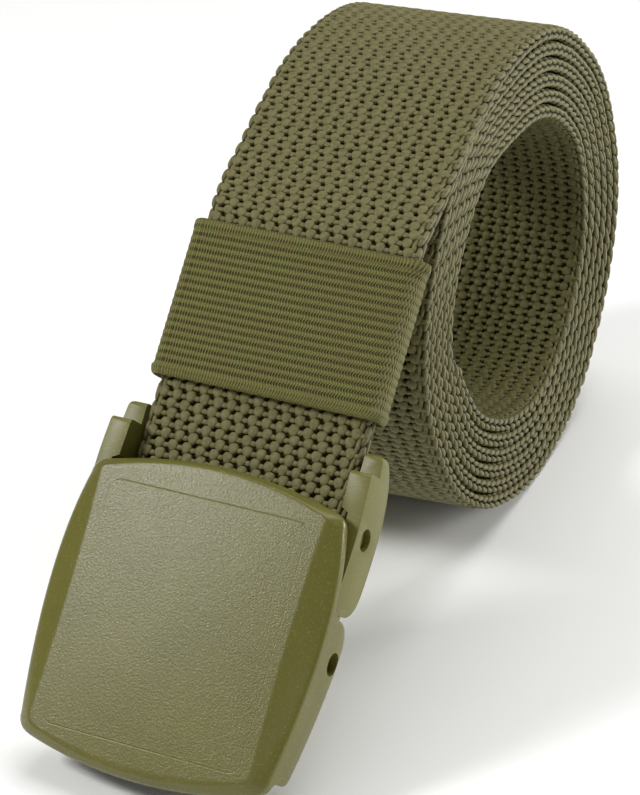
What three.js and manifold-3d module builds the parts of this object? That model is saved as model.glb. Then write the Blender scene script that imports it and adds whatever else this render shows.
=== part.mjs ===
// A rolled webbing belt with a plastic cam buckle.
// Millimetres, +Z up. The coil stands on its rim and its axis runs along X.
// The outer end of the webbing leaves the top of the coil, comes down to the front
// and carries an elastic keeper and the closed buckle, whose tip stands on the floor.
import * as THREE from 'three';
import { mergeVertices } from 'three/addons/utils/BufferGeometryUtils.js';
import Module from 'manifold-3d';

const wasm = await Module();
wasm.setup();

const rad = THREE.MathUtils.degToRad;
const CLEAR = 0.3;

// Webbing
const WEB_WIDTH = 38;
const WEB_THICK = 2.4;
const HALF_WEB = WEB_WIDTH / 2;

// Coil: radii of the outermost turn from its centre, every 30 degrees clockwise
// from where the webbing leaves it, and how much each further turn lies inside.
const COIL_Y = 30.7;
const COIL_Z = 44;
const COIL_START = 110;
const COIL_TURNS = 5.8;
const COIL_STEP = 9;
const COIL_ROWS = [
  { radius: 48.2, pitch: 2.78 },
  { radius: 44.6, pitch: 2.78 },
  { radius: 45.0, pitch: 2.8 },
  { radius: 51.1, pitch: 3.35 },
  { radius: 58.3, pitch: 4.4 },
  { radius: 54.7, pitch: 4.1 },
  { radius: 46.8, pitch: 3.2 },
  { radius: 42.0, pitch: 2.8 },
  { radius: 43.2, pitch: 2.8 },
  { radius: 49.5, pitch: 2.8 },
  { radius: 58.6, pitch: 2.9 },
  { radius: 55.2, pitch: 2.85 },
];

// Free run of the webbing: from the coil's top it sags to a bend above the keeper,
// given as places (y, z) of its outer face, then it is straight.
const RUN = [
  { y: 5.2, z: 87.6 },
  { y: -4.1, z: 84.2 },
  { y: -13.3, z: 80.1 },
  { y: -21.8, z: 76.4 },
  { y: -27.5, z: 73.6 },
];
const TWIST_FROM = -19;

// Buckle frame of reference: across, along (up the webbing) and out of its face.
// Its origin lies on the webbing's outer face, level with the cover's upper corners.
const BUCKLE_AT = { x: -2.6, y: -56.2, z: 37.1 };
const BUCKLE_SLOPE = 52.4;
const BUCKLE_YAW = -5.9;
const STRAIGHT_TOP = 44;
const STRAP_END = -30;

// Keeper
const KEEPER_FROM = 17;
const KEEPER_LENGTH = 26.4;
const KEEPER_WALL = 1.2;
const KEEPER_STAND_OFF = 0.8;

// Buckle frame
const CHEEK_INNER = 20.9;
const CHEEK_MID = 24.1;
const CHEEK_TOP_HALF = 22.7;
const CHEEK_END_HALF = 22.7;
const RIM_INNER = 19.7;
const RIM_FROM = 2.3;
const RIM_LEAD = 0.6;
const CHEEK_TOP = 8.6;
const CHEEK_END = -13.5;
const RIM_LEVEL = 3.9;
const BACK_LEVEL = -4.9;
const CHEEK_ROUND = 4.5;
const RIM_ROUND = 0.9;
const TAIL_TOP = 12.2;
const TAIL_LEVEL = 0.2;
const TAIL_BACK = -2.2;
const TAIL_INNER = 19.4;
const TAIL_CORNER = 1.4;
const FLOOR_TOP = 9;
const FLOOR_LEVEL = -WEB_THICK - CLEAR;
const FLOOR_TIP = -43.2;
const FLOOR_TIP_SAG = 3.4;
const FLOOR_TIP_HALF = 19.6;
const RAIL_INNER = HALF_WEB + CLEAR;
const RAIL_OUTER = 20.8;
const RAIL_END = -31;
const RAIL_OVERLAP = 3.4;
const BRIDGE_FROM = -14.5;
const BRIDGE_TO = -25;
const BRIDGE_LEVEL = 2.5;
const JOIN = 0.5;

// Hinge of the cover in the cheeks
const HINGE = { along: -1.2, level: 0.1 };
const HOLE_RADIUS = 1.85;
const PIN_RADIUS = 1.55;
const PIN_END = 22.4;

// Buckle cover
const PLATE = { top: 22.3, widest: 24.0, foot: 22.0 };
const CREASE = { top: 19.9, widest: 19.4, foot: 19.6 };
const COVER_TOP = 0.65;
const COVER_END = -42.9;
const COVER_BOW = 3.35;
const COVER_WIDEST_SHIFT = 5;
const CORNER = 2.6;
const EDGE_UNDER = 4.9;
const EDGE_ROUND = 0.5;
const EDGE_LEVEL = 6.4;
const CREASE_LEVEL = 8.3;
const FIELD_LEVEL = 8.7;
const LIP = 1;
const CROWN = 4.5;
const HOLLOW_LEVEL = 6.7;
const HOLLOW_HALF = 18.6;
const HOLLOW_TOP = -2;
const HOLLOW_END = -38.5;
const PANEL = { half: 17.5, from: -1.5, to: -41.3, corner: 2.2, groove: 0.5, level: 8.28 };
const SKIRT_WALL = 1.7;
const SKIRT_FROM = -14.3;
const SKIRT_TO = -40.8;
const SKIRT_LEVEL = -2.1;
const SKIRT_END_LEVEL = -0.5;
const EAR_ROUND = 4.5;
const SKIRT_ROUND = 1.4;
const NOTCH = 0.6;
const NOTCH_LEVEL = 2.6;
const SKIRT_INSET = 0.2;
const LATCH_HOLE = { along: -20.9, level: 0.4 };
const LUG_INNER = HALF_WEB + CLEAR;
const LUG_OUTER = CHEEK_INNER - CLEAR;
const LUG_RADIUS = 2.5;
const LUG_LEAN = 0.6;
const HEEL = { low: -1.6, high: 1.2, rise: 1.2 };

const WEBBING = new THREE.MeshStandardMaterial({ color: 0x6f6a45, roughness: 0.95, metalness: 0 });
const ELASTIC = new THREE.MeshStandardMaterial({ color: 0x66683e, roughness: 0.9, metalness: 0 });
const PLASTIC = new THREE.MeshStandardMaterial({ color: 0x858462, roughness: 0.65, metalness: 0 });

// Closed solid through rings of equal length. Its end faces are cut into triangles in
// the plane that flatten gives.
function loft(rings, flatten) {
  const count = rings[0].length;
  const index = [];
  for (let i = 0; i + 1 < rings.length; i += 1) {
    for (let j = 0; j < count; j += 1) {
      const a = i * count + j;
      const b = i * count + ((j + 1) % count);
      index.push(a, b, b + count, a, b + count, a + count);
    }
  }
  const last = (rings.length - 1) * count;
  for (const [a, b, c] of THREE.ShapeUtils.triangulateShape(rings[0].map(flatten), [])) {
    index.push(c, b, a);
  }
  for (const [a, b, c] of THREE.ShapeUtils.triangulateShape(rings.at(-1).map(flatten), [])) {
    index.push(last + a, last + b, last + c);
  }
  const geometry = new THREE.BufferGeometry().setFromPoints(rings.flat());
  geometry.setIndex(index);
  return geometry;
}

function toSolid(geometry) {
  geometry.deleteAttribute('normal');
  geometry.deleteAttribute('uv');
  const merged = mergeVertices(geometry, 1e-4);
  return new wasm.Manifold(new wasm.Mesh({
    numProp: 3,
    vertProperties: new Float32Array(merged.attributes.position.array),
    triVerts: new Uint32Array(merged.index.array),
  }));
}

function toGeometry(solid) {
  const mesh = solid.getMesh();
  const geometry = new THREE.BufferGeometry();
  geometry.setAttribute('position', new THREE.BufferAttribute(mesh.vertProperties, 3));
  geometry.setIndex(new THREE.BufferAttribute(mesh.triVerts, 1));
  geometry.computeVertexNormals();
  return geometry;
}

function namedMesh(name, geometry, material) {
  geometry.computeVertexNormals();
  const mesh = new THREE.Mesh(geometry, material);
  mesh.name = name;
  return mesh;
}

// A side profile, drawn in (along, level), as a plate from one place across to another.
const SIDEWAYS = new THREE.Matrix4().makeBasis(
  new THREE.Vector3(0, 1, 0), new THREE.Vector3(0, 0, 1), new THREE.Vector3(1, 0, 0));

function sidePlate(shape, from, to, curveSegments = 8) {
  const geometry = new THREE.ExtrudeGeometry(shape, {
    depth: to - from, bevelEnabled: false, curveSegments });
  geometry.applyMatrix4(SIDEWAYS);
  geometry.translate(from, 0, 0);
  return toSolid(geometry);
}

// An outline drawn in (across, along), as a slab from one level to another.
function slab(shape, from, to, curveSegments = 8) {
  const geometry = new THREE.ExtrudeGeometry(shape, {
    depth: to - from, bevelEnabled: false, curveSegments });
  geometry.translate(0, 0, from);
  return toSolid(geometry);
}

function box(x0, x1, y0, y1, z0, z1) {
  const geometry = new THREE.BoxGeometry(x1 - x0, y1 - y0, z1 - z0);
  geometry.translate((x0 + x1) / 2, (y0 + y1) / 2, (z0 + z1) / 2);
  return toSolid(geometry);
}

function rod(radius, from, to, place) {
  const geometry = new THREE.CylinderGeometry(radius, radius, to - from, 20);
  geometry.rotateZ(Math.PI / 2);
  geometry.translate((from + to) / 2, place.along, place.level);
  return toSolid(geometry);
}

function polygon(points) {
  return new THREE.Shape(points.map(([x, y]) => new THREE.Vector2(x, y)));
}

function mirrored(make) {
  const right = make();
  return right.add(right.mirror([1, 0, 0]));
}

function union(...solids) {
  return solids.reduce((sum, solid) => sum.add(solid));
}

// Where the webbing runs: the coil's rows as smooth curves round the turn.
function rowSpline(key) {
  const rows = COIL_ROWS.map((row) => row[key]);
  const turnStep = key === 'radius' ? COIL_ROWS[0].pitch : 0;
  const before = rows.slice(-2).map((value) => value + turnStep);
  const after = rows.slice(0, 3).map((value) => value - turnStep);
  const values = [...before, ...rows, ...after];
  return new THREE.SplineCurve(values.map((value, i) => new THREE.Vector2(i - 2, value)));
}
const radiusSpline = rowSpline('radius');
const pitchSpline = rowSpline('pitch');

function readRow(spline, degrees) {
  const spans = spline.points.length - 1;
  return spline.getPoint((degrees / 30 + 2) / spans).y;
}

function coilPoint(degrees) {
  const turn = Math.floor(degrees / 360);
  const within = degrees - 360 * turn;
  const radius = readRow(radiusSpline, within) - turn * readRow(pitchSpline, within);
  const angle = rad(COIL_START - degrees);
  return new THREE.Vector3(
    0, COIL_Y + radius * Math.cos(angle), COIL_Z + radius * Math.sin(angle));
}

const buckleMatrix = new THREE.Matrix4()
  .makeTranslation(BUCKLE_AT.x, BUCKLE_AT.y, BUCKLE_AT.z)
  .multiply(new THREE.Matrix4().makeRotationZ(rad(BUCKLE_YAW)))
  .multiply(new THREE.Matrix4().makeRotationX(rad(BUCKLE_SLOPE)));

function onBuckle(across, along, level) {
  return new THREE.Vector3(across, along, level).applyMatrix4(buckleMatrix);
}

// Stations of the outer face from the inner end of the coil to the end in the buckle.
function webbingStations() {
  const coil = [];
  for (let degrees = COIL_TURNS * 360; degrees > 0; degrees -= COIL_STEP) {
    coil.push(coilPoint(degrees));
  }
  const lead = [coilPoint(30), coilPoint(15), coilPoint(0)];
  const bent = RUN.map(({ y, z }) => new THREE.Vector3(0, y, z));
  const alongs = [STRAIGHT_TOP, STRAIGHT_TOP / 2, 0, STRAP_END];
  const straight = alongs.map((along) => onBuckle(0, along, 0));
  const curve = new THREE.CatmullRomCurve3([...lead, ...bent, ...straight], false, 'centripetal');
  const spans = curve.points.length - 1;
  const firstSpan = 2;
  const lastBentSpan = lead.length + bent.length;
  const run = [];
  for (let span = firstSpan; span < lastBentSpan; span += 0.5) {
    run.push(curve.getPoint(span / spans));
  }
  return [...coil, ...run, ...straight];
}

function webbing() {
  const stations = webbingStations();
  const straightFrom = onBuckle(0, STRAIGHT_TOP, 0).y;
  const rings = stations.map((point, i) => {
    const before = stations[Math.max(i - 1, 0)];
    const after = stations[Math.min(i + 1, stations.length - 1)];
    const onRun = i > (COIL_TURNS * 360) / COIL_STEP;
    const turned = THREE.MathUtils.smoothstep(-point.y, -TWIST_FROM, -straightFrom);
    const twist = onRun ? rad(BUCKLE_YAW) * turned : 0;
    const across = new THREE.Vector3(Math.cos(twist), Math.sin(twist), 0);
    const forward = after.clone().sub(before);
    const outward = new THREE.Vector3().crossVectors(forward, across).normalize();
    const inner = point.clone().addScaledVector(outward, -WEB_THICK);
    return [
      point.clone().addScaledVector(across, HALF_WEB),
      point.clone().addScaledVector(across, -HALF_WEB),
      inner.clone().addScaledVector(across, -HALF_WEB),
      inner.clone().addScaledVector(across, HALF_WEB),
    ];
  });
  const flatEnd = [[0, 0], [1, 0], [1, 1], [0, 1]];
  return loft(rings, (point, i) => new THREE.Vector2(...flatEnd[i]));
}

// Keeper: an elastic band round the webbing, as a tube with a flat oval opening.
function roundedBand(half, low, high, corner) {
  const shape = new THREE.Shape();
  shape.moveTo(-half + corner, low);
  shape.lineTo(half - corner, low);
  shape.quadraticCurveTo(half, low, half, low + corner);
  shape.lineTo(half, high - corner);
  shape.quadraticCurveTo(half, high, half - corner, high);
  shape.lineTo(-half + corner, high);
  shape.quadraticCurveTo(-half, high, -half, high - corner);
  shape.lineTo(-half, low + corner);
  shape.quadraticCurveTo(-half, low, -half + corner, low);
  return shape;
}

function keeper() {
  const half = HALF_WEB + CLEAR;
  const shape = roundedBand(
    half + KEEPER_WALL, FLOOR_LEVEL - KEEPER_WALL, KEEPER_STAND_OFF + KEEPER_WALL, 1.4);
  shape.holes.push(roundedBand(half, FLOOR_LEVEL, KEEPER_STAND_OFF, 0.4));
  const geometry = new THREE.ExtrudeGeometry(shape, {
    depth: KEEPER_LENGTH, bevelEnabled: false, curveSegments: 4 });
  geometry.applyMatrix4(new THREE.Matrix4().makeBasis(
    new THREE.Vector3(-1, 0, 0), new THREE.Vector3(0, 0, 1), new THREE.Vector3(0, 1, 0)));
  geometry.translate(0, KEEPER_FROM, 0);
  return toGeometry(toSolid(geometry));
}

// Frame: floor under the webbing, two cheeks with thick upper rims and a tail each, two
// rails and a bridge over the webbing.
function cheekShape() {
  const shape = new THREE.Shape();
  shape.moveTo(0, BACK_LEVEL);
  shape.quadraticCurveTo(FLOOR_TOP, BACK_LEVEL, TAIL_TOP - 0.4, TAIL_BACK);
  shape.quadraticCurveTo(TAIL_TOP, TAIL_BACK + 0.4, TAIL_TOP, TAIL_LEVEL - 1);
  shape.quadraticCurveTo(TAIL_TOP, TAIL_LEVEL, TAIL_TOP - 1, TAIL_LEVEL);
  shape.lineTo(CHEEK_TOP, TAIL_LEVEL);
  shape.lineTo(CHEEK_TOP, RIM_LEVEL - RIM_ROUND);
  shape.quadraticCurveTo(CHEEK_TOP, RIM_LEVEL, CHEEK_TOP - RIM_ROUND, RIM_LEVEL);
  shape.lineTo(CHEEK_END + RIM_ROUND, RIM_LEVEL);
  shape.quadraticCurveTo(CHEEK_END, RIM_LEVEL, CHEEK_END, RIM_LEVEL - RIM_ROUND);
  shape.lineTo(CHEEK_END, BACK_LEVEL + CHEEK_ROUND);
  shape.quadraticCurveTo(CHEEK_END, BACK_LEVEL, CHEEK_END + CHEEK_ROUND, BACK_LEVEL);
  shape.closePath();
  const hole = new THREE.Path();
  hole.absarc(HINGE.along, HINGE.level, HOLE_RADIUS, 0, 2 * Math.PI, true);
  shape.holes.push(hole);
  return shape;
}

function cheekPlan() {
  const shape = new THREE.Shape();
  shape.moveTo(CHEEK_INNER, CHEEK_END - 1);
  shape.lineTo(CHEEK_END_HALF, CHEEK_END - 1);
  shape.quadraticCurveTo(CHEEK_MID, 0, CHEEK_TOP_HALF, TAIL_TOP - TAIL_CORNER);
  shape.quadraticCurveTo(CHEEK_TOP_HALF, TAIL_TOP, CHEEK_TOP_HALF - TAIL_CORNER, TAIL_TOP);
  shape.lineTo(TAIL_INNER, TAIL_TOP);
  shape.lineTo(TAIL_INNER, CHEEK_TOP);
  shape.lineTo(RIM_INNER, RIM_FROM + RIM_LEAD);
  shape.lineTo(CHEEK_INNER, RIM_FROM);
  shape.closePath();
  return shape;
}

// Side of the floor: flat under the webbing, its upper end rounded like the cheeks.
function floorSide() {
  const shape = new THREE.Shape();
  shape.moveTo(FLOOR_TIP - 1, BACK_LEVEL);
  shape.lineTo(0, BACK_LEVEL);
  shape.quadraticCurveTo(FLOOR_TOP - 2.5, BACK_LEVEL, FLOOR_TOP, FLOOR_LEVEL);
  shape.lineTo(FLOOR_TIP - 1, FLOOR_LEVEL);
  shape.closePath();
  return shape;
}

function floorPlan() {
  const shape = new THREE.Shape();
  const corner = FLOOR_TIP + FLOOR_TIP_SAG;
  const reach = CHEEK_INNER + JOIN;
  shape.moveTo(-reach, TAIL_TOP);
  shape.lineTo(-reach, CHEEK_END + CHEEK_ROUND);
  shape.lineTo(-RAIL_OUTER, CHEEK_END + CHEEK_ROUND);
  shape.lineTo(-RAIL_OUTER, RAIL_END);
  shape.lineTo(-FLOOR_TIP_HALF, corner);
  shape.quadraticCurveTo(0, FLOOR_TIP - FLOOR_TIP_SAG, FLOOR_TIP_HALF, corner);
  shape.lineTo(RAIL_OUTER, RAIL_END);
  shape.lineTo(RAIL_OUTER, CHEEK_END + CHEEK_ROUND);
  shape.lineTo(reach, CHEEK_END + CHEEK_ROUND);
  shape.lineTo(reach, TAIL_TOP);
  shape.closePath();
  return shape;
}

function buckleFrame() {
  const cheeks = mirrored(() => sidePlate(cheekShape(), TAIL_INNER, CHEEK_MID, 6)
    .intersect(slab(cheekPlan(), BACK_LEVEL - 1, RIM_LEVEL + 1)));
  const floor = sidePlate(floorSide(), -CHEEK_MID, CHEEK_MID)
    .intersect(slab(floorPlan(), BACK_LEVEL - 1, FLOOR_LEVEL + 1, 12));
  const low = FLOOR_LEVEL - JOIN;
  const rails = mirrored(() => box(
    RAIL_INNER, RAIL_OUTER, RAIL_END, CHEEK_END + RAIL_OVERLAP, low, BRIDGE_LEVEL));
  const webs = mirrored(() => box(
    RAIL_OUTER - JOIN, CHEEK_INNER + JOIN,
    CHEEK_END + JOIN, CHEEK_END + RAIL_OVERLAP, low, BRIDGE_LEVEL));
  const bridge = box(
    -RAIL_INNER - JOIN, RAIL_INNER + JOIN, BRIDGE_TO, BRIDGE_FROM, CLEAR, BRIDGE_LEVEL);
  return toGeometry(union(floor, cheeks, rails, webs, bridge));
}

// Cover: a barrel-shaped plate with chamfered sides between its bowed edge and a nearly
// straight crease, skirt walls over its lower half, two lugs with stub pins in the
// cheeks, and a cam that closes on the webbing.
function coverShape({ top, widest, foot }, end) {
  const bulge = 2 * widest - (top + foot) / 2;
  const high = COVER_TOP - end;
  const low = COVER_END + end;
  const middle = (high + low) / 2 + COVER_WIDEST_SHIFT;
  const topSlope = (2 * COVER_BOW) / (top + CORNER);
  const footSlope = (2 * COVER_BOW) / (foot + CORNER);
  const shape = new THREE.Shape();
  shape.moveTo(-foot + CORNER, low - footSlope * CORNER);
  shape.quadraticCurveTo(0, low - footSlope * foot, foot - CORNER, low - footSlope * CORNER);
  shape.quadraticCurveTo(foot, low, foot, low + CORNER);
  shape.quadraticCurveTo(bulge, middle, top, high - CORNER);
  shape.quadraticCurveTo(top, high, top - CORNER, high + topSlope * CORNER);
  shape.quadraticCurveTo(0, high + topSlope * top, -top + CORNER, high + topSlope * CORNER);
  shape.quadraticCurveTo(-top, high, -top, high - CORNER);
  shape.quadraticCurveTo(-bulge, middle, -foot, low + CORNER);
  shape.quadraticCurveTo(-foot, low, -foot + CORNER, low - footSlope * CORNER);
  return shape;
}

function narrowed({ top, widest, foot }, by) {
  return { top: top - by, widest: widest - by, foot: foot - by };
}

function coverRing(halves, end, level) {
  const points = coverShape(halves, end).getPoints(8).slice(0, -1);
  return points.map((point) => new THREE.Vector3(point.x, point.y, level));
}

function coverPlate() {
  const rings = [
    coverRing(narrowed(PLATE, EDGE_ROUND), EDGE_ROUND, EDGE_UNDER),
    coverRing(PLATE, 0, EDGE_UNDER + EDGE_ROUND),
    coverRing(PLATE, 0, EDGE_LEVEL),
    coverRing(CREASE, LIP, CREASE_LEVEL),
    coverRing(narrowed(CREASE, CROWN), LIP + CROWN, FIELD_LEVEL),
  ];
  return toSolid(loft(rings, (point) => new THREE.Vector2(point.x, point.y)));
}

function skirtShape() {
  const shape = new THREE.Shape();
  shape.moveTo(SKIRT_FROM, EDGE_LEVEL);
  shape.lineTo(SKIRT_TO - NOTCH, EDGE_LEVEL);
  shape.quadraticCurveTo(SKIRT_TO + NOTCH, EDGE_UNDER, SKIRT_TO, NOTCH_LEVEL);
  shape.lineTo(SKIRT_TO, SKIRT_END_LEVEL + SKIRT_ROUND);
  shape.quadraticCurveTo(SKIRT_TO, SKIRT_END_LEVEL, SKIRT_TO + SKIRT_ROUND, SKIRT_END_LEVEL);
  shape.lineTo(SKIRT_FROM - EAR_ROUND, SKIRT_LEVEL);
  shape.quadraticCurveTo(SKIRT_FROM, SKIRT_LEVEL, SKIRT_FROM, SKIRT_LEVEL + EAR_ROUND);
  shape.closePath();
  const hole = new THREE.Path();
  hole.absarc(LATCH_HOLE.along, LATCH_HOLE.level, HOLE_RADIUS, 0, 2 * Math.PI, true);
  shape.holes.push(hole);
  return shape;
}

function skirts() {
  const outer = slab(coverShape(narrowed(PLATE, SKIRT_INSET), 0), SKIRT_LEVEL - 1, EDGE_LEVEL);
  const inner = slab(
    coverShape(narrowed(PLATE, SKIRT_INSET + SKIRT_WALL), -EAR_ROUND), SKIRT_LEVEL - 2, EDGE_LEVEL + 1);
  const side = mirrored(() => sidePlate(skirtShape(), HOLLOW_HALF, PLATE.widest));
  return outer.subtract(inner).intersect(side);
}

function roundedRectangle(half, from, to, corner) {
  const shape = new THREE.Shape();
  shape.moveTo(-half + corner, to);
  shape.lineTo(half - corner, to);
  shape.quadraticCurveTo(half, to, half, to + corner);
  shape.lineTo(half, from - corner);
  shape.quadraticCurveTo(half, from, half - corner, from);
  shape.lineTo(-half + corner, from);
  shape.quadraticCurveTo(-half, from, -half, from - corner);
  shape.lineTo(-half, to + corner);
  shape.quadraticCurveTo(-half, to, -half + corner, to);
  return shape;
}

function lugShape() {
  const shape = new THREE.Shape();
  shape.absarc(HINGE.along, HINGE.level, LUG_RADIUS, Math.PI, 2 * Math.PI, false);
  shape.lineTo(HINGE.along + LUG_RADIUS - 2 * LUG_LEAN, EDGE_UNDER + JOIN);
  shape.lineTo(HINGE.along - LUG_RADIUS - LUG_LEAN, EDGE_UNDER + JOIN);
  shape.closePath();
  return shape;
}

// The cam hangs over the webbing just below the hinge, its heel cut back for the swing.
function camShape() {
  const { along, level } = HINGE;
  const top = HOLLOW_LEVEL + JOIN;
  const foot = level + 0.4;
  return polygon([
    [along - 0.3, foot], [along + 2.4, foot + 2.5], [along + 2.4, top],
    [along - 5.5, top], [along - 5.5, foot + 1], [along - 5, foot],
  ]);
}

// Wedge cut from under the cover's upper corners, so that they swing over the cheeks' rims.
function heelRelief() {
  const { low, high, rise } = HEEL;
  return mirrored(() => sidePlate(polygon([
    [high + 1, EDGE_UNDER - 1], [high + 1, EDGE_UNDER + rise], [high, EDGE_UNDER + rise],
    [low, EDGE_UNDER], [low, EDGE_UNDER - 1],
  ]), HALF_WEB, PLATE.widest));
}

function buckleCover() {
  const hollow = slab(
    roundedRectangle(HOLLOW_HALF, HOLLOW_TOP, HOLLOW_END, CORNER), EDGE_UNDER - 1, HOLLOW_LEVEL, 4);
  const { half, from, to, corner, groove, level } = PANEL;
  const grooveRing = roundedRectangle(half, from, to, corner);
  grooveRing.holes.push(
    roundedRectangle(half - groove, from - groove, to + groove, corner - groove));
  const line = slab(grooveRing, level, FIELD_LEVEL + 1, 5);
  const lugs = mirrored(() => sidePlate(lugShape(), LUG_INNER, LUG_OUTER));
  const pins = mirrored(() => rod(PIN_RADIUS, LUG_OUTER - JOIN, PIN_END, HINGE));
  const cam = sidePlate(camShape(), -HALF_WEB, HALF_WEB);
  const shell = coverPlate().subtract(hollow).subtract(line);
  const hung = union(shell, lugs).subtract(heelRelief());
  return toGeometry(union(hung, skirts(), cam, pins));
}

// The assembly, with its origin in the middle of the ground that it covers.
const buckle = new THREE.Group();
buckle.applyMatrix4(buckleMatrix);
buckle.add(
  namedMesh('keeper', keeper(), ELASTIC),
  namedMesh('buckle_frame', buckleFrame(), PLASTIC),
  namedMesh('buckle_cover', buckleCover(), PLASTIC),
);

const belt = new THREE.Group();
belt.add(namedMesh('strap', webbing(), WEBBING), buckle);
const reach = new THREE.Box3().setFromObject(belt, true);
const middle = reach.getCenter(new THREE.Vector3());
belt.position.set(-middle.x, -middle.y, -reach.min.z);

export default belt;
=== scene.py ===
import math
from bisect import bisect_right

import bmesh
import bpy
from mathutils import Matrix, Vector, noise


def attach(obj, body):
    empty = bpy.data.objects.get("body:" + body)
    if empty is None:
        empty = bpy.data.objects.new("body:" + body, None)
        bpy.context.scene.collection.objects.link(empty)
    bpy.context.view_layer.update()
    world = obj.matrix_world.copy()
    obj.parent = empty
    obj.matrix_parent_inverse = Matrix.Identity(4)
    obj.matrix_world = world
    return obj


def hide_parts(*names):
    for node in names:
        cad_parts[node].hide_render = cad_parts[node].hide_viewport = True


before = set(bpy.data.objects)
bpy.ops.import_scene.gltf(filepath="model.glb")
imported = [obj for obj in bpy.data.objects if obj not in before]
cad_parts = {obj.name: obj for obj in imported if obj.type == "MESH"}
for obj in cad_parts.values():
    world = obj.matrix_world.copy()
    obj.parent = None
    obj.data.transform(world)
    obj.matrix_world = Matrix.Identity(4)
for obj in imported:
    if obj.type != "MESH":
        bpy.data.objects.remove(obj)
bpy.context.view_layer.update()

scene = bpy.context.scene
MM = 0.001
noise.seed_set(7)  # the yarns stray the same way each run


# Camera, at the height and side from which the belt is seen.
camera = bpy.data.objects.new("camera", bpy.data.cameras.new("camera"))
camera.data.lens = 135.85
camera.data.clip_start = 0.01
camera.location = (0.16305, -0.4395, 0.2551)
camera.rotation_euler = (math.radians(64.4), 0, math.radians(21))
scene.collection.objects.link(camera)
scene.camera = camera


# The run of the webbing, with the same sizes as its solid.
BELT_SHIFT = Vector((3.559, 1.204, 0.117))
WEB_WIDTH = 38.0
WEB_THICK = 2.4
COIL_Y, COIL_Z = 30.7, 44.0
COIL_START = 110.0
COIL_TURNS = 5.8
COIL_STEP = 3.0
# Radius of the outer turn and the way in to the next turn, once every 30 degrees.
ROW_DEGREES = 30
COIL_RADII = (48.2, 44.6, 45.0, 51.1, 58.3, 54.7, 46.8, 42.0, 43.2, 49.5, 58.6, 55.2)
COIL_PITCHES = (2.78, 2.78, 2.8, 3.35, 4.4, 4.1, 3.2, 2.8, 2.8, 2.8, 2.9, 2.85)
# Places along and up, from the coil towards the buckle.
RUN = ((5.2, 87.6), (-4.1, 84.2), (-13.3, 80.1), (-21.8, 76.4), (-27.5, 73.6))
RUN_STEPS = 6
TWIST_FROM = -19.0
BUCKLE_AT = Vector((-2.6, -56.2, 37.1))
BUCKLE_SLOPE = math.radians(52.4)
BUCKLE_YAW = math.radians(-5.9)
STRAIGHT = (44.0, 22.0, 0.0, -30.0)

buckle_matrix = (
    Matrix.Translation(BUCKLE_AT + BELT_SHIFT)
    @ Matrix.Rotation(BUCKLE_YAW, 4, "Z")
    @ Matrix.Rotation(BUCKLE_SLOPE, 4, "X")
)


def on_buckle(across, along, level):
    return buckle_matrix @ Vector((across, along, level))


def cubic(start, end, start_slope, end_slope, t):
    """Value or place on a smooth curve from start to end."""
    cube = 2 * start - 2 * end + start_slope + end_slope
    square = -3 * start + 3 * end - 2 * start_slope - end_slope
    return (cube * t + square) * t * t + start_slope * t + start


def row_spline(rows, turn_step):
    """Smooth curve through the rows round one turn, which goes on into the next turn, a
    step further in."""
    values = (
        [value + turn_step for value in rows[-2:]]
        + list(rows)
        + [value - turn_step for value in rows[:3]]
    )

    def at(degrees):
        place = degrees / ROW_DEGREES + 2
        i = int(place)
        before, start, end, after = values[i - 1 : i + 3]
        return cubic(start, end, (end - before) / 2, (after - start) / 2, place - i)

    return at


coil_radius = row_spline(COIL_RADII, COIL_PITCHES[0])
coil_pitch = row_spline(COIL_PITCHES, 0)


def coil_point(degrees):
    turn, within = divmod(degrees, 360)
    radius = coil_radius(within) - turn * coil_pitch(within)
    angle = math.radians(COIL_START - degrees)
    return BELT_SHIFT + Vector(
        (0, COIL_Y + radius * math.cos(angle), COIL_Z + radius * math.sin(angle))
    )


def centripetal(points, i, t):
    """Point on the span after points[i] of a centripetal Catmull-Rom curve."""
    p0, p1, p2, p3 = points[i - 1 : i + 3]
    d0, d1, d2 = ((b - a).length ** 0.5 for a, b in ((p0, p1), (p1, p2), (p2, p3)))
    slope1 = ((p1 - p0) / d0 - (p2 - p0) / (d0 + d1) + (p2 - p1) / d1) * d1
    slope2 = ((p2 - p1) / d1 - (p3 - p1) / (d1 + d2) + (p3 - p2) / d2) * d1
    return cubic(p1, p2, slope1, slope2, t)


def webbing_run():
    """Stations of the outer face, from the coil's inner end to the end in the buckle:
    distance along, place, direction across and direction out of the face."""
    places = []
    degrees = COIL_TURNS * 360
    while degrees > 0.01:
        places.append(coil_point(degrees))
        degrees -= COIL_STEP
    on_coil = len(places)
    shape = [coil_point(30), coil_point(15), coil_point(0)]
    shape += [BELT_SHIFT + Vector((0, y, z)) for y, z in RUN]
    shape += [on_buckle(0, along, 0) for along in STRAIGHT]
    for i in range(2, 2 + len(RUN) + 1):
        places += [centripetal(shape, i, step / RUN_STEPS) for step in range(RUN_STEPS)]
    places += shape[-len(STRAIGHT) :]
    straight_y = shape[-len(STRAIGHT)].y
    stations = []
    distance = 0.0
    for i, place in enumerate(places):
        before, after = places[max(i - 1, 0)], places[min(i + 1, len(places) - 1)]
        twist = 0.0
        if i > on_coil:
            from_y = TWIST_FROM + BELT_SHIFT.y
            t = min(max((from_y - place.y) / (from_y - straight_y), 0), 1)
            twist = BUCKLE_YAW * t * t * (3 - 2 * t)
        across = Vector((math.cos(twist), math.sin(twist), 0))
        outward = (after - before).cross(across).normalized()
        if i:
            distance += (place - places[i - 1]).length
        stations.append((distance, place, across, outward))
    return stations, stations[on_coil][0]


stations, coil_end = webbing_run()
marks = [station[0] for station in stations]
web_end = marks[-1]


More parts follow.
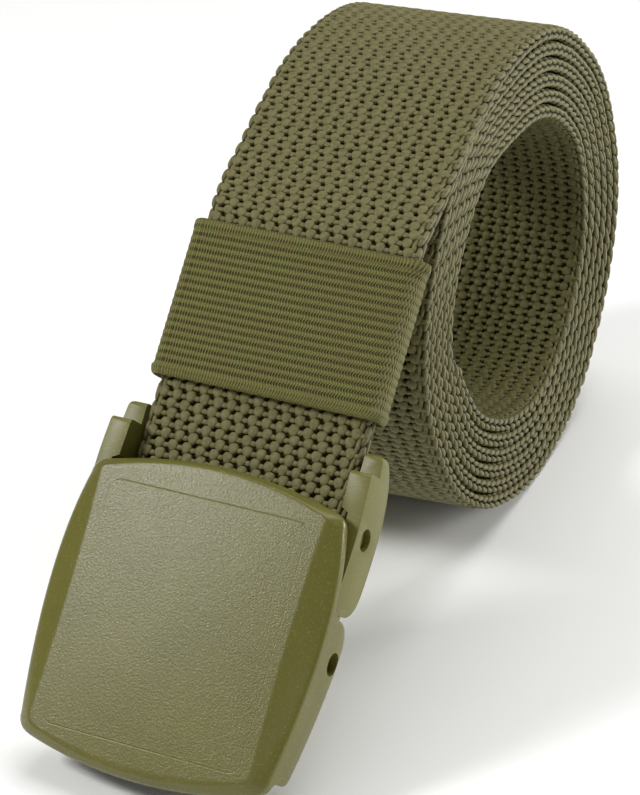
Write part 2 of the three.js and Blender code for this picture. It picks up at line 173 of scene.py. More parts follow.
def rolled(flat):
    """Where a point of the flat cloth lies once the belt is rolled, in metres."""
    across, along, level = flat
    i = min(max(bisect_right(marks, along) - 1, 0), len(marks) - 2)
    d0, p0, a0, n0 = stations[i]
    d1, p1, a1, n1 = stations[i + 1]
    t = (along - d0) / (d1 - d0)
    side = a0.lerp(a1, t)
    out = n0.lerp(n1, t).normalized()
    return (p0.lerp(p1, t) + side * across + out * level) * MM


def in_buckle(flat):
    """Place in the part of a point given across, along and out of the buckle's face."""
    return on_buckle(*flat) * MM


# Materials.
def to_linear(code):
    """Linear colour of an sRGB hex value."""
    channels = (int(code[i : i + 2], 16) / 255 for i in (0, 2, 4))
    return [c / 12.92 if c <= 0.04045 else ((c + 0.055) / 1.055) ** 2.4 for c in channels] + [1]


def connect(material, node, links):
    """Links earlier outputs to a node's sockets. A node stands for its first output."""
    for socket, source in dict(links).items():
        if isinstance(source, bpy.types.Node):
            source = source.outputs[0]
        material.node_tree.links.new(source, node.inputs[socket])


def add(material, kind, settings=(), links=()):
    """Adds a node with its settings and links. Stops are pairs of place and hex colour."""
    node = material.node_tree.nodes.new(kind)
    for name, value in dict(settings).items():
        if name == "stops":
            elements = node.color_ramp.elements
            while len(elements) < len(value):
                elements.new(0.5)
            for element, (place, colour) in zip(elements, value):
                element.position = place
                element.color = to_linear(colour)
        elif isinstance(name, str) and hasattr(node, name):
            setattr(node, name, value)
        else:
            node.inputs[name].default_value = value
    connect(material, node, links)
    return node


def new_material(name, colour, roughness, **sockets):
    material = bpy.data.materials.new(name)
    material.use_nodes = True
    shader = material.node_tree.nodes["Principled BSDF"]
    shader.inputs["Base Color"].default_value = to_linear(colour)
    shader.inputs["Roughness"].default_value = roughness
    for socket, value in sockets.items():
        shader.inputs[socket.replace("_", " ")].default_value = value
    return material, shader


def patches(size):
    """Noise scale whose patches are of this size in millimetres."""
    return 1 / (size * MM)


FUZZ_TINT = "c9c6a0"


def spun_nylon(name, dark, light, painted_pit_shade, fuzz, gloss):
    """Bulked nylon yarn: dyed in the mass, soft and dull, with loose ends that blur its
    outline. Low down between the floats, where little light gets in, its colour is
    darkened with painted shade by the height attribute. Its tone changes within a float,
    over 0.7 mm. The loose ends are drawn 0.27 mm apart, because the real ones are too fine
    to show."""
    material, shader = new_material(
        name, light, 0.6, Specular_IOR_Level=gloss, Sheen_Weight=fuzz, Sheen_Roughness=0.4,
        Sheen_Tint=to_linear(FUZZ_TINT))
    spot = add(material, "ShaderNodeTexCoord").outputs["Object"]
    tone = add(
        material, "ShaderNodeTexNoise", {"Scale": patches(0.7), "Detail": 5}, {"Vector": spot})
    uneven = add(
        material, "ShaderNodeValToRGB", {"stops": ((0.35, dark), (0.65, light))}, {"Fac": tone})
    height = add(material, "ShaderNodeAttribute", {"attribute_name": "height"}).outputs["Fac"]
    # Painted shade: darker towards the pit colour where the height attribute is low.
    depth = add(
        material, "ShaderNodeValToRGB", {"stops": ((0.05, painted_pit_shade), (0.8, "ffffff"))},
        {"Fac": height})
    colour = add(
        material, "ShaderNodeVectorMath", {"operation": "MULTIPLY"}, {0: uneven, 1: depth})
    fibres = add(
        material, "ShaderNodeTexNoise", {"Scale": patches(0.27), "Detail": 2},
        {"Vector": spot})
    fuzzy = add(
        material, "ShaderNodeBump", {"Strength": 0.7, "Distance": 0.13 * MM},
        {"Height": fibres})
    connect(material, shader, {"Base Color": colour, "Normal": fuzzy})
    return material


def moulded_acetal(name, colour, worn, roughness, etched):
    """Injection moulded acetal: coloured through, waxy, and a shade paler in broad patches
    where it is handled. Pale specks are added to its colour as painted glints, where tiny
    bumps would catch the light. The mould's broad faces were etched, which leaves a fine
    wrinkled grain, 0.32 mm wide, where the grain attribute says. The rest came from a
    polished mould and is only slightly uneven."""
    material, shader = new_material(name, colour, roughness, Specular_IOR_Level=0.33)
    spot = add(material, "ShaderNodeTexCoord").outputs["Object"]
    wear = add(
        material, "ShaderNodeTexNoise", {"Scale": patches(9.0), "Detail": 2}, {"Vector": spot})
    tone = add(
        material, "ShaderNodeValToRGB", {"stops": ((0.3, colour), (0.75, worn))}, {"Fac": wear})
    # Painted glints: sparse pale specks added to the colour.
    painted_glint_noise = add(
        material, "ShaderNodeTexNoise", {"Scale": patches(0.27), "Detail": 1},
        {"Vector": spot})
    painted_glints = add(
        material, "ShaderNodeValToRGB", {"stops": ((0.62, "000000"), (0.73, "454537"))},
        {"Fac": painted_glint_noise})
    tone_with_painted_glints = add(material, "ShaderNodeVectorMath", {"operation": "ADD"}, {0: tone, 1: painted_glints})
    connect(material, shader, {"Base Color": tone_with_painted_glints})
    if etched:
        depth = 0.05
        wrinkles = add(
            material, "ShaderNodeTexNoise",
            {"Scale": patches(0.32), "Detail": 2, "Distortion": 0.7}, {"Vector": spot})
        share = add(material, "ShaderNodeAttribute", {"attribute_name": "grain"}).outputs["Fac"]
        height = add(
            material, "ShaderNodeMath", {"operation": "MULTIPLY"}, {0: wrinkles, 1: share})
        duller = add(material, "ShaderNodeMath", {"operation": "MULTIPLY", 1: 0.06}, {0: share})
        dull = add(
            material, "ShaderNodeMath", {"operation": "ADD", 1: roughness}, {0: duller})
        connect(material, shader, {"Roughness": dull})
    else:
        depth = 0.01
        height = add(
            material, "ShaderNodeTexNoise", {"Scale": patches(0.5), "Detail": 2},
            {"Vector": spot})
    relief = add(
        material, "ShaderNodeBump", {"Strength": 1.0, "Distance": depth * MM},
        {"Height": height})
    connect(material, shader, {"Normal": relief})
    return material


# The elastic's yarn loops lie closer than this, and are drawn as fine as they can show.
THREAD_PITCH = 0.5
RIB_PITCH = 1.33


def elastic_webbing(name, dark, light, painted_slit_shade):
    """Woven elastic: fine yarn loops over cross ribs of rubber, greener where the yarn is
    stretched, in patches of a few millimetres. The slits between the loops are darkened
    with painted shade, and sunk a little by the bump."""
    material, shader = new_material(
        name, light, 0.65, Specular_IOR_Level=0.35, Sheen_Weight=0.1, Sheen_Roughness=0.4,
        Sheen_Tint=to_linear(FUZZ_TINT))
    spot = add(material, "ShaderNodeTexCoord").outputs["Object"]
    tone = add(
        material, "ShaderNodeTexNoise", {"Scale": patches(3.5), "Detail": 3}, {"Vector": spot})
    uneven = add(
        material, "ShaderNodeValToRGB", {"stops": ((0.35, dark), (0.65, light))}, {"Fac": tone})
    place = add(material, "ShaderNodeUVMap", {"uv_map": "threads"})
    flat = add(material, "ShaderNodeSeparateXYZ", {}, {"Vector": place})
    waves = []
    for axis, pitch in (("X", THREAD_PITCH), ("Y", RIB_PITCH)):
        turn = add(
            material, "ShaderNodeMath", {"operation": "MULTIPLY", 1: 2 * math.pi / pitch},
            {0: flat.outputs[axis]})
        waves.append(add(material, "ShaderNodeMath", {"operation": "COSINE"}, {0: turn}))
    thread, rib = waves
    ribbed = add(material, "ShaderNodeAttribute", {"attribute_name": "ribbed"}).outputs["Fac"]
    low = add(material, "ShaderNodeMath", {"operation": "SUBTRACT", 0: 0.5}, {1: rib})
    valley = add(material, "ShaderNodeMath", {"operation": "MULTIPLY"}, {0: low, 1: ribbed})
    gap = add(material, "ShaderNodeMath", {"operation": "SUBTRACT", 0: 0.3}, {1: thread})
    open_share = add(material, "ShaderNodeMath", {"operation": "MAXIMUM", 1: 0.3}, {0: valley})
    depth = add(material, "ShaderNodeMath", {"operation": "MULTIPLY"}, {0: open_share, 1: gap})
    # Painted shade: the colour darkens towards the slit colour in the slits between loops and
    # ribs.
    shade = add(
        material, "ShaderNodeValToRGB",
        {"stops": ((0.0, "ffffff"), (0.2, "cfccb0"), (0.9, painted_slit_shade))}, {"Fac": depth})
    colour = add(
        material, "ShaderNodeVectorMath", {"operation": "MULTIPLY"}, {0: uneven, 1: shade})
    fuzz = add(
        material, "ShaderNodeTexNoise", {"Scale": patches(0.22), "Detail": 2},
        {"Vector": spot})
    sunk = add(material, "ShaderNodeMath", {"operation": "MULTIPLY", 1: 1.2}, {0: depth})
    height = add(material, "ShaderNodeMath", {"operation": "SUBTRACT"}, {0: fuzz, 1: sunk})
    loops = add(
        material, "ShaderNodeBump", {"Strength": 1.0, "Distance": 0.12 * MM},
        {"Height": height})
    connect(material, shader, {"Base Color": colour, "Normal": loops})
    return material


# The yarn of the outer face is paler and has more fuzzy sheen. The copy for the back and
# the inside of the roll has a darker colour, which is painted shade, and the yarns under
# the floats get a darker, dull colour, which is painted shade from the floats.
warp_yarn = spun_nylon("warp_yarn_nylon", "57522a", "6a653b", "4f481d", 0.12, 0.4)
back_yarn = spun_nylon(
    "warp_yarn_nylon_back_painted_shade", "49451f", "59552f", "413b17", 0.06, 0.3)
ground_yarn = spun_nylon("ground_yarn_nylon_painted_shade", "363010", "433c17", "ffffff", 0.0, 0.05)
# Nylon that was cut with heat melts into a dark, hard and slightly shiny bead.
sealed_nylon, _ = new_material("heat_sealed_nylon", "33301a", 0.4)
elastic_yarn = elastic_webbing("elastic_band_yarn", "6c6532", "6a6a32", "8f894f")
grained_acetal = moulded_acetal("grained_acetal", "5a5724", "5f5c27", 0.27, etched=True)
satin_acetal = moulded_acetal("satin_acetal", "605d27", "656229", 0.4, etched=False)


# Making pieces.
def finish_piece(name, bm, material, body, place):
    """Turns a mesh in millimetres into a piece of the part."""
    for vert in bm.verts:
        vert.co = place(vert.co)
    for face in bm.faces:
        face.smooth = True
    mesh = bpy.data.meshes.new(name)
    bm.to_mesh(mesh)
    bm.free()
    mesh.materials.append(material)
    piece = bpy.data.objects.new(name, mesh)
    scene.collection.objects.link(piece)
    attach(piece, body)
    return piece


def all_parts(bm):
    return bm.verts[:] + bm.edges[:] + bm.faces[:]


def only(kind, parts):
    """The verts, edges or faces among these parts."""
    return [part for part in parts if isinstance(part, kind)]


def repeat(bm, parts, step, count):
    """Copies these parts count - 1 times, each one step further."""
    for i in range(1, count):
        copy = bmesh.ops.duplicate(bm, geom=parts)["geom"]
        verts = only(bmesh.types.BMVert, copy)
        bmesh.ops.translate(bm, verts=verts, vec=Vector(step) * i)


def stray(place, fineness, reach):
    """A small smooth shift, because no yarn lies quite straight."""
    return noise.noise_vector(place * fineness) * reach


# Weave: in each pair of rows the floats stand beside each other in turns. Each float is
# joined on one side to a low bridge, where the yarn across the webbing shows.
FLOAT_PITCH = 2.45
ROW_PITCH = 1.65
REPEAT = 2 * ROW_PITCH
COLUMNS = 15
LEFT = -(COLUMNS - 0.15) / 2 * FLOAT_PITCH
ROWS = (
    # columns, place of the first float and of its bridge in shares of a pitch
    (COLUMNS, 0.33, 0.81),
    (COLUMNS - 1, 1.09, 0.58),
)
GROUND_LEVEL = -0.85
FLOAT_TOP, FLOAT_WIDE, FLOAT_LONG, FLOAT_POINT = 0.15, 0.96, 0.97, 0.32
BRIDGE_TOP, BRIDGE_WIDE, BRIDGE_LONG, BRIDGE_AHEAD = 0.02, 0.78, 0.47, 0.21
BRIDGE_RINGS = 3
# A dome's outline is squarer the higher BLUNT is, and its sides fuller the lower
# FULLNESS is.
BLUNT = 2.7
FULLNESS = 0.36


def yarn_dome(bm, centre, half_across, half_along, top, point, sides, rings):
    """A blunt dome of yarn that stands on the ground, narrower towards the buckle."""
    height = bm.verts.layers.float["height"]
    rise = top - GROUND_LEVEL
    ball = bmesh.ops.create_uvsphere(
        bm, u_segments=sides, v_segments=2 * rings, radius=1)["verts"]
    bmesh.ops.delete(bm, geom=[vert for vert in ball if vert.co.z < -0.01], context="VERTS")
    for vert in ball:
        if not vert.is_valid:
            continue
        x, y, z = vert.co
        z = max(z, 0) ** FULLNESS
        reach = (abs(x) ** BLUNT + abs(y) ** BLUNT) ** (1 / BLUNT)
        swell = math.hypot(x, y) ** FULLNESS / max(reach, 1e-4)
        ahead = max(y, 0)
        vert.co = (
            centre[0] + x * swell * half_across * (1 - point * ahead),
            centre[1] + y * swell * half_along * (1 + 0.4 * point * ahead),
            GROUND_LEVEL + rise * z,
        )
        # The height attribute sets how much painted shade the yarn's colour gets: most at the
        # foot.
        vert[height] = rise * z / (FLOAT_TOP - GROUND_LEVEL)


def woven_face(name, start, end, under=False, sides=10, rings=4):
    """Floats over a stretch of the webbing's outer face, or of its inner face."""
    bm = bmesh.new()
    bm.verts.layers.float.new("height")
    for row, (columns, float_at, bridge_at) in enumerate(ROWS):
        before = all_parts(bm)
        y = row * ROW_PITCH
        yarn_dome(
            bm, (LEFT + float_at * FLOAT_PITCH, y),
            FLOAT_WIDE, FLOAT_LONG, FLOAT_TOP, FLOAT_POINT, sides, rings)
        yarn_dome(
            bm, (LEFT + bridge_at * FLOAT_PITCH, y + BRIDGE_AHEAD),
            BRIDGE_WIDE, BRIDGE_LONG, BRIDGE_TOP, 0, sides - 2, BRIDGE_RINGS)
        row_parts = [part for part in all_parts(bm) if part not in before]
        repeat(bm, row_parts, (FLOAT_PITCH, 0, 0), columns)
    first = round(start / REPEAT)
    repeat(bm, all_parts(bm), (0, REPEAT, 0), round(end / REPEAT) - first)
    for vert in bm.verts:
        x, y, level = vert.co
        drift = stray(vert.co, 0.31, 0.13)
        if under:
            level = -WEB_THICK - level
        vert.co = (x + drift.x, first * REPEAT + y + drift.y, level)
    if under:
        bmesh.ops.reverse_faces(bm, faces=bm.faces[:])
    # The back and the inside of the roll get the darker copy of the yarn: painted shade.
    yarn = back_yarn if under else warp_yarn
    finish_piece(name, bm, yarn, "belt", rolled)


# Stretches in millimetres along the webbing. Only the faces that can be seen are woven:
# the outer turn, the run to the buckle on both sides, and the inside of the inner turn.
outer_turn = coil_end - 350
mid_turn = coil_end - 185
run_from = coil_end - 20
run_back_from = coil_end - 25
run_to = web_end - 2
inside_end = marks[round(360 / COIL_STEP)] + 4
woven_face("weave_coil_low", outer_turn, mid_turn, sides=8, rings=3)
woven_face("weave_coil_high", mid_turn, run_from)
woven_face("weave_run", run_from, run_to)
woven_face("weave_inside", 3, inside_end, under=True, sides=8, rings=3)
woven_face("weave_run_back", run_back_from, run_to, under=True, sides=8, rings=3)


# Selvedges: files of long beads round each edge, laid slanting in turns like a braid.
BEAD_HALF = 1.86
BEAD_SIDES = 6
BEAD_TAPER, BEAD_TUCK = 0.15, 0.06
BEAD_FILES = (
    # across, level, half width, half height, slant in degrees, share of a repeat ahead
    (18.38, -0.62, 0.58, 0.52, 9, 0.0),
    (18.38, -1.78, 0.58, 0.52, -9, 0.5),
    (17.6, -0.45, 0.48, 0.45, 7, 0.5),
    (17.6, -1.95, 0.48, 0.45, -7, 0.0),
)
FILES_CENTRE = 17.4


def selvedge(name, side):
    bm = bmesh.new()
    height = bm.verts.layers.float.new("height")
    for across, level, half_width, half_height, slant, ahead in BEAD_FILES:
        out = Vector((across - FILES_CENTRE, 0, level + WEB_THICK / 2)).normalized()
        bead = bmesh.ops.create_uvsphere(
            bm, u_segments=BEAD_SIDES, v_segments=BEAD_SIDES, radius=1)["verts"]
        bmesh.ops.rotate(bm, verts=bead, matrix=Matrix.Rotation(math.radians(90), 3, "X"))
        turn = Matrix.Rotation(math.radians(slant), 3, "X")
        for vert in bead:
            x, y, z = vert.co
            full = math.sqrt((1 - abs(y) ** 3) / max(1 - y * y, 1e-4))
            blunt = (1 - BEAD_TAPER * y) * full
            tuck = -BEAD_TUCK * y
            local = turn @ Vector(
                (x * half_width * blunt + tuck, y * BEAD_HALF, z * half_height * blunt))
            vert.co = local + Vector((across, ahead * REPEAT, level))
            # The height attribute gives painted shade: beads are darker where they face in
            # towards the webbing.
            vert[height] = 0.4 + 0.6 * local.dot(out) / half_width
    repeat(bm, all_parts(bm), (0, REPEAT, 0), int(web_end / REPEAT))
    if side < 0:
        bmesh.ops.scale(bm, verts=bm.verts[:], vec=(-1, 1, 1))
        bmesh.ops.reverse_faces(bm, faces=bm.faces[:])
    for vert in bm.verts:
        vert.co += stray(vert.co, 0.4, 0.1)
    finish_piece(name, bm, warp_yarn, "belt", rolled)


selvedge("selvedge_right", 1)
selvedge("selvedge_left", -1)


# Ground of the webbing: the hidden yarns between and under the floats. Their dark colour
# is painted shade from the floats.
GROUND_WIDTH = 35.8
GROUND_STEP = 2.5


def webbing_ground():
    bm = bmesh.new()
    bmesh.ops.create_grid(bm, x_segments=2, y_segments=int(web_end / GROUND_STEP), size=0.5)
    for vert in bm.verts:
        vert.co = (vert.co.x * GROUND_WIDTH, (vert.co.y + 0.5) * web_end, GROUND_LEVEL)
    core = WEB_THICK + 2 * GROUND_LEVEL
    rim = bm.edges[:] + bm.verts[:]
    lower = bmesh.ops.extrude_face_region(bm, geom=bm.faces[:] + rim)["geom"]
    low_verts = only(bmesh.types.BMVert, lower)
    bmesh.ops.translate(bm, verts=low_verts, vec=(0, 0, -core))
    bmesh.ops.recalc_face_normals(bm, faces=bm.faces[:])
    piece = finish_piece("webbing_ground", bm, ground_yarn, "belt", rolled)
    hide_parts("strap")


def sealed_end():
    """The inner end of the webbing, cut and melted into a hard rounded bead."""
    bm = bmesh.new()
    bar = bmesh.ops.create_cube(bm, size=1)["verts"]
    bmesh.ops.scale(bm, verts=bar, vec=(WEB_WIDTH - 1.2, 1.3, WEB_THICK - 0.6))
    bmesh.ops.translate(bm, verts=bar, vec=(0, 0.7, -WEB_THICK / 2))
    bmesh.ops.bevel(
        bm, geom=bm.edges[:], affect="EDGES", offset=0.5, segments=3, profile=0.5,
        material=-1)
    long_edges = [edge for edge in bm.edges if edge.calc_length() > 20]
    bmesh.ops.subdivide_edges(bm, edges=long_edges, cuts=30)
    for vert in bm.verts:
        vert.co += stray(vert.co, 0.7, 0.12)
    finish_piece("sealed_end", bm, sealed_nylon, "belt", rolled)


webbing_ground()
sealed_end()


# Keeper: an elastic band with cross ribs and rolled hems. Its finest threads are in the
# material, which follows the band by a UV map in millimetres.
KEEPER_FROM, KEEPER_LENGTH = 17.0, 26.4
KEEPER_HALF = 20.5
KEEPER_LOW, KEEPER_HIGH = -3.9, 2.0
KEEPER_CORNER = 2.3
KEEPER_WALL = 1.1
STEPS_AROUND = 150
ROWS_ALONG = 150
OUTER_SHARE = 0.9
RIB_RISE = 0.17
TOP_HEM, FOOT_HEM = 2.1, 1.7
LIP = 0.5
# A small pucker at the band's corner: share of a turn, its spread, height and length.
PUCKER_TURN, PUCKER_SPREAD, PUCKER_RISE, PUCKER_LENGTH = 0.43, 0.02, 0.9, 3.2


def band_outline(turn, inset):
    """Point of the band's oval section, pulled in by inset, at a share of a turn."""
    half, low, high = KEEPER_HALF - inset, KEEPER_LOW + inset, KEEPER_HIGH - inset
    corner = max(KEEPER_CORNER - inset, 0.3)
    flat, wall = 2 * (half - corner), high - low - 2 * corner
    arc = math.pi / 2 * corner
    way = (turn % 1) * 2 * (flat + wall + 2 * arc)
    centres = (
        (half - corner, high - corner), (half - corner, low + corner),
        (-half + corner, low + corner), (-half + corner, high - corner),
    )
    for k, length in enumerate((flat, wall, flat, wall)):
        heading = math.radians(-90 * k)
        ahead = Vector((math.cos(heading), math.sin(heading)))
        out = Vector((-ahead.y, ahead.x))
        centre = Vector(centres[k])
        if way < length:
            return centre + out * corner + ahead * (way - length)
        way -= length
        if way < arc:
            bend = way / corner
            return centre + (out * math.cos(bend) + ahead * math.sin(bend)) * corner
        way -= arc
    return Vector((-half + corner, high))


def keeper_lift(turn, along, flatness):
    """How far the band's outer face stands out, and how strongly it is ribbed there: this
    also sets how dark the painted shade in its slits is.
    """
    from_top, from_foot = KEEPER_LENGTH - along, along
    pucker = PUCKER_RISE * math.exp(-(((turn - PUCKER_TURN) / PUCKER_SPREAD) ** 2))
    pucker *= max(0, 1 - from_top / PUCKER_LENGTH)
    if from_top < TOP_HEM:
        groove = 0.3 * math.exp(-(((from_top - TOP_HEM) / 0.25) ** 2))
        return 0.1 - 0.5 * max(0, 1 - from_top / LIP) ** 2 - groove + pucker, 0.7
    if from_foot < FOOT_HEM:
        roll = math.sqrt(max(0, 1 - (1 - from_foot / FOOT_HEM) ** 2))
        return 0.25 * roll - 0.45 * (1 - roll), 0.4
    wave = (1 - math.cos(2 * math.pi * (along - FOOT_HEM) / RIB_PITCH)) / 2
    return -RIB_RISE * wave * flatness + pucker, 0.4 + 0.6 * flatness


def keeper_band():
    bm = bmesh.new()
    ribbed = bm.verts.layers.float.new("ribbed")
    threads = bm.loops.layers.uv.new("threads")
    bmesh.ops.create_grid(bm, x_segments=STEPS_AROUND, y_segments=ROWS_ALONG, size=0.5)
    girth = 2 * (2 * KEEPER_HALF + KEEPER_HIGH - KEEPER_LOW) - (8 - 2 * math.pi) * KEEPER_CORNER
    places = {}
    for vert in bm.verts:
        turn, way = vert.co.x + 0.5, vert.co.y + 0.5
        point = band_outline(turn, 0)
        if way <= OUTER_SHARE:
            along = way / OUTER_SHARE * KEEPER_LENGTH
            from_side = max(0, KEEPER_HALF - abs(point.x))
            flatness = 0.35 + 0.65 * min(1, from_side / 1.5)
            lift, vert[ribbed] = keeper_lift(turn, along, flatness)
        else:
            along = KEEPER_LENGTH * (1 - way) / (1 - OUTER_SHARE)
            from_end = min(along, KEEPER_LENGTH - along)
            lift = 0.67 * max(0, 1 - from_end / LIP) ** 2 - KEEPER_WALL
        point = band_outline(turn, -lift)
        places[vert] = (turn * girth, along - FOOT_HEM)
        vert.co = (point.x, KEEPER_FROM + along, point.y)
    for face in bm.faces:
        for loop in face.loops:
            loop[threads].uv = places[loop.vert]
    bmesh.ops.remove_doubles(bm, verts=bm.verts[:], dist=0.001)
    bmesh.ops.recalc_face_normals(bm, faces=bm.faces[:])
    piece = finish_piece("keeper_band", bm, elastic_yarn, "belt", in_buckle)
    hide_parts("keeper")


keeper_band()


# Cover: one shell, drawn in rings from its hollow underside round the skirts and over
# the edge to the middle of the grained field. Every ring has the same steps.
# Half widths at the top, the widest place and the foot.
PLATE = (22.3, 24.0, 22.0)
CREASE = (19.9, 19.4, 19.6)
COVER_TOP, COVER_END, COVER_BOW, WIDEST_SHIFT = 0.65, -42.9, 3.35, 5.0
PLATE_CORNERS = (2.1, 2.6)
CREASE_CORNERS = (0.9, 1.5)
CREASE_INSETS = (0.75, 1.0)
HOLLOW_LEVEL, EDGE_UNDER, EDGE_SIDE, CREASE_LEVEL, FIELD_LEVEL = 6.7, 4.9, 5.3, 8.3, 8.7
PANEL_HALF, PANEL_TOP, PANEL_FOOT, PANEL_CORNER = 17.5, -1.5, -41.3, 2.2
MIDDLE = Vector((0, -21.3))
SKIRT_WALL = 1.7
SKIRT_END, SKIRT_START = -41.7, -11.6
HEEL_LOW, HEEL_HIGH, HEEL_RISE, HEEL_HALF = -1.6, 1.2, 1.2, 17.4
LATCH_HOLE = (-20.9, 0.4)  # along, level
HOLE_RADIUS = 1.85
HOLE_SIDES = 40
DRILL_LENGTH = 60
CREASE_ANGLE = math.radians(78)
EDGE_STEPS, CORNER_STEPS, SIDE_STEPS = 24, 6, 84

# Inset of the outline and level, from the hollow to the plate's underside.
HOLLOW_RINGS = ((9.0, HOLLOW_LEVEL), (4.2, HOLLOW_LEVEL), (3.8, EDGE_UNDER + 0.2))
# Inset and share of the way down, first inside the skirt and then outside it.
SKIRT_RINGS = (
    (SKIRT_WALL, 0.0), (SKIRT_WALL, 0.5), (SKIRT_WALL, 0.93), (1.45, 1.0), (0.45, 1.0),
    (0.12, 0.96), (0.0, 0.88), (0.0, 0.6), (0.0, 0.3), (0.0, 0.0),
)
# Share of the way from the edge to the crease, level and share of grain.
CHAMFER_RINGS = (
    (0.0, 6.15, 0), (0.03, 6.42, 0), (0.1, 6.68, 0), (0.25, 7.05, 0), (0.5, 7.5, 0),
    (0.75, 7.92, 0), (0.9, 8.14, 0.2), (1.0, 8.25, 0.7),
)
# Share of the way from the crease to the panel's groove.
MARGIN_RINGS = (0.08, 0.3, 0.7)
# Inset and depth of the fine groove round the panel.
GROOVE_RINGS = ((0, 0), (0.06, 0), (0.13, 0.04), (0.2, 0.04), (0.27, 0), (0.33, 0))
# Share of the way from the groove to the middle.
PANEL_RINGS = (0.12, 0.25, 0.4, 0.6, 0.8, 0.95)


def bent(start, control, end, t):
    """Point on a quadratic curve."""
    start, control, end = Vector(start), Vector(control), Vector(end)
    return start * (1 - t) ** 2 + control * (2 * t * (1 - t)) + end * t * t


def closed_curve(spans):
    """Points round a loop of quadratic spans, each given by start, control and steps."""
    points = []
    for i, (start, control, steps) in enumerate(spans):
        end = spans[(i + 1) % len(spans)][0]
        points += [bent(start, control, end, step / steps) for step in range(steps)]
    return points


def cover_outline(halves, corners, inset=0, end_insets=(0, 0)):
    """Outline with half widths at the top, the widest place and the foot."""
    top, widest, foot = (half - inset for half in halves)
    corner, foot_corner = corners
    high, low = COVER_TOP - inset - end_insets[0], COVER_END + inset + end_insets[1]
    bulge = 2 * widest - (top + foot) / 2
    middle = (high + low) / 2 + WIDEST_SHIFT
    top_slope = 2 * COVER_BOW / (top + corner)
    foot_slope = 2 * COVER_BOW / (foot + foot_corner)
    top_edge, foot_edge = high + top_slope * corner, low - foot_slope * foot_corner
    return closed_curve((
        ((-foot + foot_corner, foot_edge), (0, low - foot_slope * foot), EDGE_STEPS),
        ((foot - foot_corner, foot_edge), (foot, low), CORNER_STEPS),
        ((foot, low + foot_corner), (bulge, middle), SIDE_STEPS),
        ((top, high - corner), (top, high), CORNER_STEPS),
        ((top - corner, top_edge), (0, high + top_slope * top), EDGE_STEPS),
        ((-top + corner, top_edge), (-top, high), CORNER_STEPS),
        ((-top, high - corner), (-bulge, middle), SIDE_STEPS),
        ((-foot, low + foot_corner), (-foot, low), CORNER_STEPS),
    ))


def panel_outline(inset):
    """Outline of the flat panel inside the groove."""
    half, corner = PANEL_HALF - inset, PANEL_CORNER
    top, foot = PANEL_TOP - inset, PANEL_FOOT + inset
    return closed_curve((
        ((-half + corner, foot), (0, foot), EDGE_STEPS),
        ((half - corner, foot), (half, foot), CORNER_STEPS),
        ((half, foot + corner), (half, MIDDLE.y), SIDE_STEPS),
        ((half, top - corner), (half, top), CORNER_STEPS),
        ((half - corner, top), (0, top), EDGE_STEPS),
        ((-half + corner, top), (-half, top), CORNER_STEPS),
        ((-half, top - corner), (-half, MIDDLE.y), SIDE_STEPS),
        ((-half, foot + corner), (-half, foot), CORNER_STEPS),
    ))


plate_outline = cover_outline(PLATE, PLATE_CORNERS)


def skirt_foot():
    """The skirt's lower edge as places (along, level) from the notch at the tip to the ear."""
    spans = (
        ((SKIRT_END, EDGE_UNDER), (-40.8, EDGE_UNDER), (-40.8, 2.9), 8),
        ((-40.8, 2.9), (-40.8, 2.0), (-40.8, 0.9), 4),
        ((-40.8, 0.9), (-40.8, -0.5), (-39.3, -0.6), 8),
        ((-39.3, -0.6), (-29, -1.35), (-18.8, -2.1), 40),
        ((-18.8, -2.1), (-14.3, -2.2), (-14.3, 2.0), 20),
        ((-14.3, 2.0), (-14.3, EDGE_UNDER), (SKIRT_START, EDGE_UNDER), 12),
    )
    return [bent(start, control, end, step / steps)
            for start, control, end, steps in spans for step in range(steps)]


def spread(points, count):
    """This many points, evenly spaced along a row of points."""
    lengths = [0.0]
    for before, after in zip(points, points[1:]):
        lengths.append(lengths[-1] + (after - before).length)
    even = []
    for k in range(count):
        want = lengths[-1] * k / (count - 1)
        i = min(bisect_right(lengths, want), len(lengths) - 1)
        t = (want - lengths[i - 1]) / (lengths[i] - lengths[i - 1])
        even.append(points[i - 1].lerp(points[i], t))
    return even


def side_half(along):
    """Half width of the plate at a place along its side."""
    side = plate_outline[EDGE_STEPS : EDGE_STEPS + CORNER_STEPS + SIDE_STEPS]
    for before, after in zip(side, side[1:]):
        if before.y <= along <= after.y:
            return before.x + (after.x - before.x) * (along - before.y) / (after.y - before.y)
    return side[0].x if along < side[0].y else side[-1].x


def field_level(point):
    """The field's slight crown."""
    wide = max(0, 1 - (point.x / 20) ** 2)
    long = max(0, 1 - ((point.y - MIDDLE.y) / 25) ** 2)
    return CREASE_LEVEL + (FIELD_LEVEL - CREASE_LEVEL) * wide * long


def heel_level(point):
    """Underside of the plate beside the hinge, cut away so that it clears the buckle when
    the cover swings open."""
    if abs(point.x) < HEEL_HALF:
        return EDGE_UNDER
    share = (point.y - HEEL_LOW) / (HEEL_HIGH - HEEL_LOW)
    return EDGE_UNDER + HEEL_RISE * min(max(share, 0), 1)


